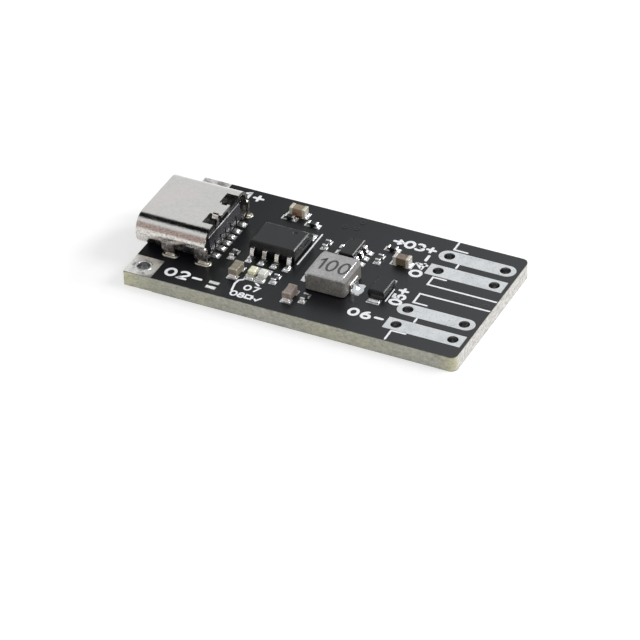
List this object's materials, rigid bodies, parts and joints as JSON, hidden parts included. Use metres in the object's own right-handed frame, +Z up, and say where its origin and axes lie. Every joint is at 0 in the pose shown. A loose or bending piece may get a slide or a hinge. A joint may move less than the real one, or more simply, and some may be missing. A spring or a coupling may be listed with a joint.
{
  "type": "lithium battery charger module",
  "caption": "Small black circuit board with a USB-C socket at one end, plated solder terminals at the other and a charging circuit between.",
  "frame": {"origin": "centre of the board's underside", "axes": "+X from the socket end to the terminal end, +Y to the board's back edge, +Z up through the parts"},
  "size_m": [0.0343, 0.0166, 0.0049],
  "materials": {
    "glass_fibre": "matt, faint weave",
    "solder_mask": "satin black",
    "tinned_copper": "tinned, satin",
    "shell_steel": "nickel plated, satin",
    "contact_metal": "gold flashed",
    "housing_plastic": "moulded",
    "chip_resin": "moulded, satin",
    "lead_metal": "tinned",
    "iron_powder": "moulded, fine grain",
    "capacitor_ceramic": "fired, satin",
    "resistor_coat": "glazed black",
    "end_plating": "tinned",
    "led_laminate": "matt white",
    "lens_yellow": "clear, faint yellow",
    "lens_white": "milky white",
    "solder": "bright",
    "board_print": "printed ink"
  },
  "bodies": {
    "root": {"substrate": "glass_fibre", "top_solder_mask": "solder_mask", "bottom_solder_mask": "solder_mask", "output_plus_terminal": "tinned_copper", "output_ground_terminal": "tinned_copper", "battery_plus_terminal": "tinned_copper", "battery_ground_terminal": "tinned_copper", "input_plus_pad": "tinned_copper", "input_ground_pad": "tinned_copper", "leg_slots": "tinned_copper", "component_lands": "tinned_copper", "jumper_lands": "tinned_copper", "usb_shell": "shell_steel", "usb_contacts": "contact_metal", "usb_housing": "housing_plastic", "charger_chip_body": "chip_resin", "small_chip_body": "chip_resin", "diode_body": "chip_resin", "charger_chip_leads": "lead_metal", "small_chip_leads": "lead_metal", "diode_leads": "lead_metal", "inductor_terminals": "lead_metal", "inductor_body": "iron_powder", "input_capacitor_body": "capacitor_ceramic", "output_capacitor_body": "capacitor_ceramic", "battery_capacitor_body": "capacitor_ceramic", "chip_capacitor_body": "capacitor_ceramic", "socket_resistor_body": "resistor_coat", "indicator_resistor_body": "resistor_coat", "sense_resistor_body": "resistor_coat", "bias_resistor_body": "resistor_coat", "timing_resistor_body": "resistor_coat", "feedback_resistor_body": "resistor_coat", "divider_resistor_body": "resistor_coat", "output_resistor_body": "resistor_coat", "input_capacitor_ends": "end_plating", "output_capacitor_ends": "end_plating", "battery_capacitor_ends": "end_plating", "chip_capacitor_ends": "end_plating", "socket_resistor_ends": "end_plating", "indicator_resistor_ends": "end_plating", "sense_resistor_ends": "end_plating", "bias_resistor_ends": "end_plating", "timing_resistor_ends": "end_plating", "feedback_resistor_ends": "end_plating", "divider_resistor_ends": "end_plating", "output_resistor_ends": "end_plating", "charging_led_ends": "end_plating", "charged_led_ends": "end_plating", "charging_led_base": "led_laminate", "charged_led_base": "led_laminate", "charging_led_lens": "lens_yellow", "charged_led_lens": "lens_white", "component_solder": "solder", "lead_solder": "solder", "leg_solder": "solder"}
  },
  "joints": []
}
